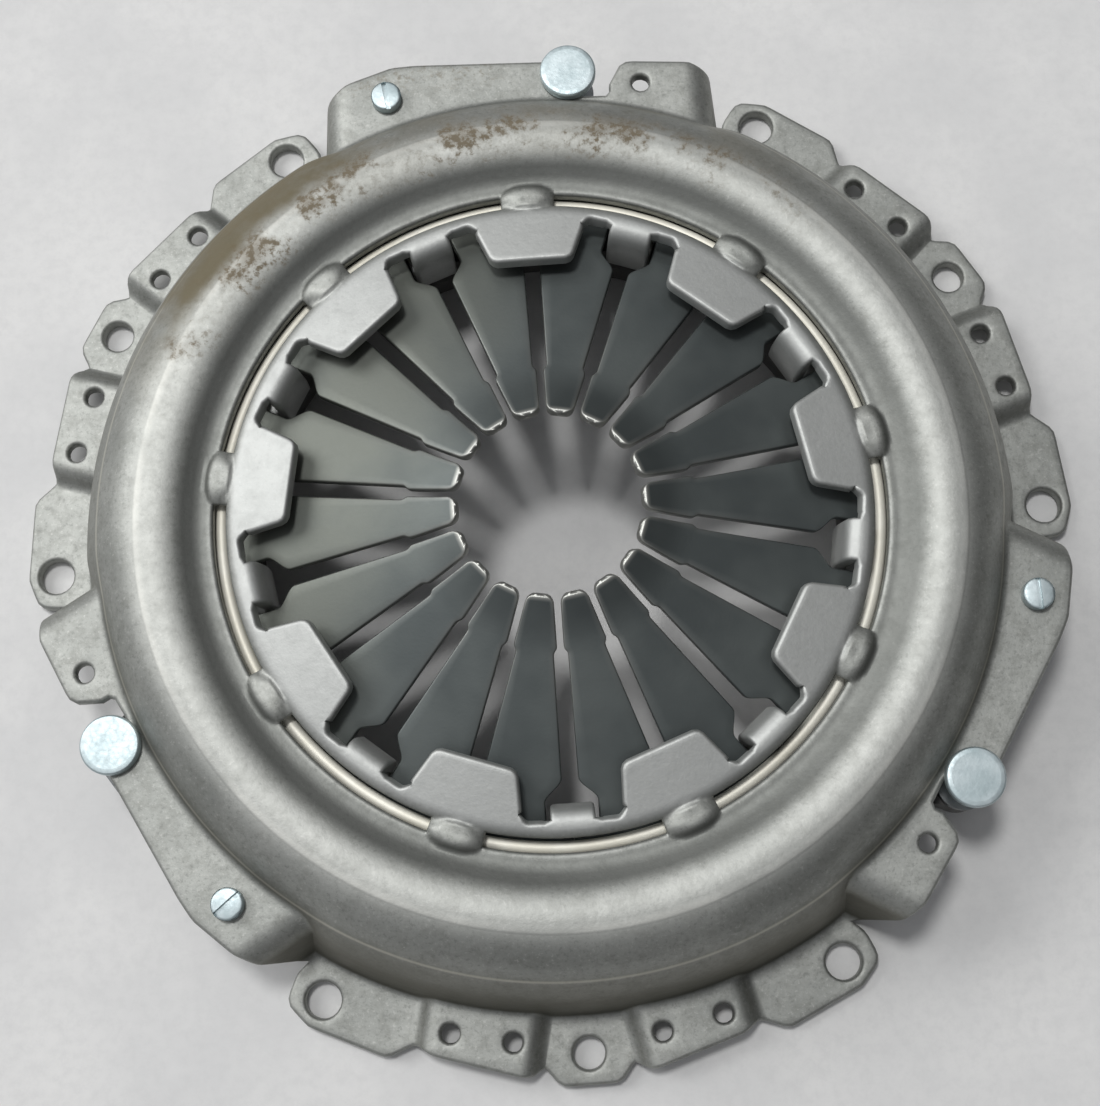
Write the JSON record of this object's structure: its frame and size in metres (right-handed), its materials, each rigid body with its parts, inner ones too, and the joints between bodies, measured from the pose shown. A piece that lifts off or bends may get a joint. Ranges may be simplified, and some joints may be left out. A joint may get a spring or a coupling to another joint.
{
  "type": "clutch pressure plate",
  "caption": "Diaphragm-spring clutch cover assembly: domed pressed cover with bolt tabs and raised ears, slotted spring fingers, wire rings, iron plate, drive straps and rivets.",
  "frame": {"origin": "centre of the bolt circle, on the underside of the mounting tabs, the face that meets the flywheel", "axes": "+Z along the clutch axis towards the release bearing, +Y through the middle of the first raised ear"},
  "size_m": [0.2746, 0.2645, 0.0465],
  "materials": {
    "cover_steel": "dull as-pressed sheet steel, oiled",
    "spring_steel": "dark heat-treated spring steel",
    "plate_iron": "cast, friction face ground",
    "wire_steel": "bright drawn wire",
    "strap_steel": "rolled spring strip",
    "rivet_zinc": "bright zinc plate"
  },
  "bodies": {
    "cover": {"clutch_cover": "cover_steel", "upper_fulcrum_ring": "wire_steel", "lower_fulcrum_ring": "wire_steel", "strap_rivet_1": "rivet_zinc", "strap_rivet_2": "rivet_zinc", "strap_rivet_3": "rivet_zinc", "drive_strap_1_leaf_1": "strap_steel", "drive_strap_1_leaf_2": "strap_steel", "drive_strap_1_leaf_3": "strap_steel", "drive_strap_2_leaf_1": "strap_steel", "drive_strap_2_leaf_2": "strap_steel", "drive_strap_2_leaf_3": "strap_steel", "drive_strap_3_leaf_1": "strap_steel", "drive_strap_3_leaf_2": "strap_steel", "drive_strap_3_leaf_3": "strap_steel"},
    "plate": {"pressure_plate": "plate_iron", "stop_rivet_1": "rivet_zinc", "stop_rivet_2": "rivet_zinc", "stop_rivet_3": "rivet_zinc"},
    "finger_01": {"diaphragm_finger_01": "spring_steel"},
    "finger_02": {"diaphragm_finger_02": "spring_steel"},
    "finger_03": {"diaphragm_finger_03": "spring_steel"},
    "finger_04": {"diaphragm_finger_04": "spring_steel"},
    "finger_05": {"diaphragm_finger_05": "spring_steel"},
    "finger_06": {"diaphragm_finger_06": "spring_steel"},
    "finger_07": {"diaphragm_finger_07": "spring_steel"},
    "finger_08": {"diaphragm_finger_08": "spring_steel"},
    "finger_09": {"diaphragm_finger_09": "spring_steel"},
    "finger_10": {"diaphragm_finger_10": "spring_steel"},
    "finger_11": {"diaphragm_finger_11": "spring_steel"},
    "finger_12": {"diaphragm_finger_12": "spring_steel"},
    "finger_13": {"diaphragm_finger_13": "spring_steel"},
    "finger_14": {"diaphragm_finger_14": "spring_steel"},
    "finger_15": {"diaphragm_finger_15": "spring_steel"},
    "finger_16": {"diaphragm_finger_16": "spring_steel"},
    "finger_17": {"diaphragm_finger_17": "spring_steel"},
    "finger_18": {"diaphragm_finger_18": "spring_steel"}
  },
  "joints": [
    {"name": "plate_lift", "type": "slide", "parent": "cover", "child": "plate", "axis": [0, 0, 1], "range_m": [0, 0.0065], "stiffness_N_per_m": 20000, "deforming": ["drive_strap_1_leaf_1", "drive_strap_1_leaf_2", "drive_strap_1_leaf_3", "drive_strap_2_leaf_1", "drive_strap_2_leaf_2", "drive_strap_2_leaf_3", "drive_strap_3_leaf_1", "drive_strap_3_leaf_2", "drive_strap_3_leaf_3"]},
    {"name": "finger_hinge_01", "type": "hinge", "parent": "cover", "child": "finger_01", "pos_m": [-0.01394, 0.07908, 0.03], "axis": [0.9848, 0.1736, 0], "range_deg": [0, 17.23]},
    {"name": "finger_hinge_02", "type": "hinge", "parent": "cover", "child": "finger_02", "pos_m": [-0.04015, 0.06954, 0.03], "axis": [0.866, 0.5, 0], "range_deg": [0, 17.23]},
    {"name": "finger_hinge_03", "type": "hinge", "parent": "cover", "child": "finger_03", "pos_m": [-0.06151, 0.05162, 0.03], "axis": [0.6428, 0.766, 0], "range_deg": [0, 17.23]},
    {"name": "finger_hinge_04", "type": "hinge", "parent": "cover", "child": "finger_04", "pos_m": [-0.07546, 0.02746, 0.03], "axis": [0.342, 0.9397, 0], "range_deg": [0, 17.23]},
    {"name": "finger_hinge_05", "type": "hinge", "parent": "cover", "child": "finger_05", "pos_m": [-0.0803, 0, 0.03], "axis": [0, 1, 0], "range_deg": [0, 17.23]},
    {"name": "finger_hinge_06", "type": "hinge", "parent": "cover", "child": "finger_06", "pos_m": [-0.07546, -0.02746, 0.03], "axis": [-0.342, 0.9397, 0], "range_deg": [0, 17.23]},
    {"name": "finger_hinge_07", "type": "hinge", "parent": "cover", "child": "finger_07", "pos_m": [-0.06151, -0.05162, 0.03], "axis": [-0.6428, 0.766, 0], "range_deg": [0, 17.23]},
    {"name": "finger_hinge_08", "type": "hinge", "parent": "cover", "child": "finger_08", "pos_m": [-0.04015, -0.06954, 0.03], "axis": [-0.866, 0.5, 0], "range_deg": [0, 17.23]},
    {"name": "finger_hinge_09", "type": "hinge", "parent": "cover", "child": "finger_09", "pos_m": [-0.01394, -0.07908, 0.03], "axis": [-0.9848, 0.1736, 0], "range_deg": [0, 17.23]},
    {"name": "finger_hinge_10", "type": "hinge", "parent": "cover", "child": "finger_10", "pos_m": [0.01394, -0.07908, 0.03], "axis": [-0.9848, -0.1736, 0], "range_deg": [0, 17.23]},
    {"name": "finger_hinge_11", "type": "hinge", "parent": "cover", "child": "finger_11", "pos_m": [0.04015, -0.06954, 0.03], "axis": [-0.866, -0.5, 0], "range_deg": [0, 17.23]},
    {"name": "finger_hinge_12", "type": "hinge", "parent": "cover", "child": "finger_12", "pos_m": [0.06151, -0.05162, 0.03], "axis": [-0.6428, -0.766, 0], "range_deg": [0, 17.23]},
    {"name": "finger_hinge_13", "type": "hinge", "parent": "cover", "child": "finger_13", "pos_m": [0.07546, -0.02746, 0.03], "axis": [-0.342, -0.9397, 0], "range_deg": [0, 17.23]},
    {"name": "finger_hinge_14", "type": "hinge", "parent": "cover", "child": "finger_14", "pos_m": [0.0803, 0, 0.03], "axis": [0, -1, 0], "range_deg": [0, 17.23]},
    {"name": "finger_hinge_15", "type": "hinge", "parent": "cover", "child": "finger_15", "pos_m": [0.07546, 0.02746, 0.03], "axis": [0.342, -0.9397, 0], "range_deg": [0, 17.23]},
    {"name": "finger_hinge_16", "type": "hinge", "parent": "cover", "child": "finger_16", "pos_m": [0.06151, 0.05162, 0.03], "axis": [0.6428, -0.766, 0], "range_deg": [0, 17.23]},
    {"name": "finger_hinge_17", "type": "hinge", "parent": "cover", "child": "finger_17", "pos_m": [0.04015, 0.06954, 0.03], "axis": [0.866, -0.5, 0], "range_deg": [0, 17.23]},
    {"name": "finger_hinge_18", "type": "hinge", "parent": "cover", "child": "finger_18", "pos_m": [0.01394, 0.07908, 0.03], "axis": [0.9848, -0.1736, 0], "range_deg": [0, 17.23]}
  ],
  "couplings": [
    {"joint": "finger_hinge_01", "follows": "plate_lift", "rad_per_m": 46},
    {"joint": "finger_hinge_02", "follows": "plate_lift", "rad_per_m": 46},
    {"joint": "finger_hinge_03", "follows": "plate_lift", "rad_per_m": 46},
    {"joint": "finger_hinge_04", "follows": "plate_lift", "rad_per_m": 46},
    {"joint": "finger_hinge_05", "follows": "plate_lift", "rad_per_m": 46},
    {"joint": "finger_hinge_06", "follows": "plate_lift", "rad_per_m": 46},
    {"joint": "finger_hinge_07", "follows": "plate_lift", "rad_per_m": 46},
    {"joint": "finger_hinge_08", "follows": "plate_lift", "rad_per_m": 46},
    {"joint": "finger_hinge_09", "follows": "plate_lift", "rad_per_m": 46},
    {"joint": "finger_hinge_10", "follows": "plate_lift", "rad_per_m": 46},
    {"joint": "finger_hinge_11", "follows": "plate_lift", "rad_per_m": 46},
    {"joint": "finger_hinge_12", "follows": "plate_lift", "rad_per_m": 46},
    {"joint": "finger_hinge_13", "follows": "plate_lift", "rad_per_m": 46},
    {"joint": "finger_hinge_14", "follows": "plate_lift", "rad_per_m": 46},
    {"joint": "finger_hinge_15", "follows": "plate_lift", "rad_per_m": 46},
    {"joint": "finger_hinge_16", "follows": "plate_lift", "rad_per_m": 46},
    {"joint": "finger_hinge_17", "follows": "plate_lift", "rad_per_m": 46},
    {"joint": "finger_hinge_18", "follows": "plate_lift", "rad_per_m": 46}
  ]
}
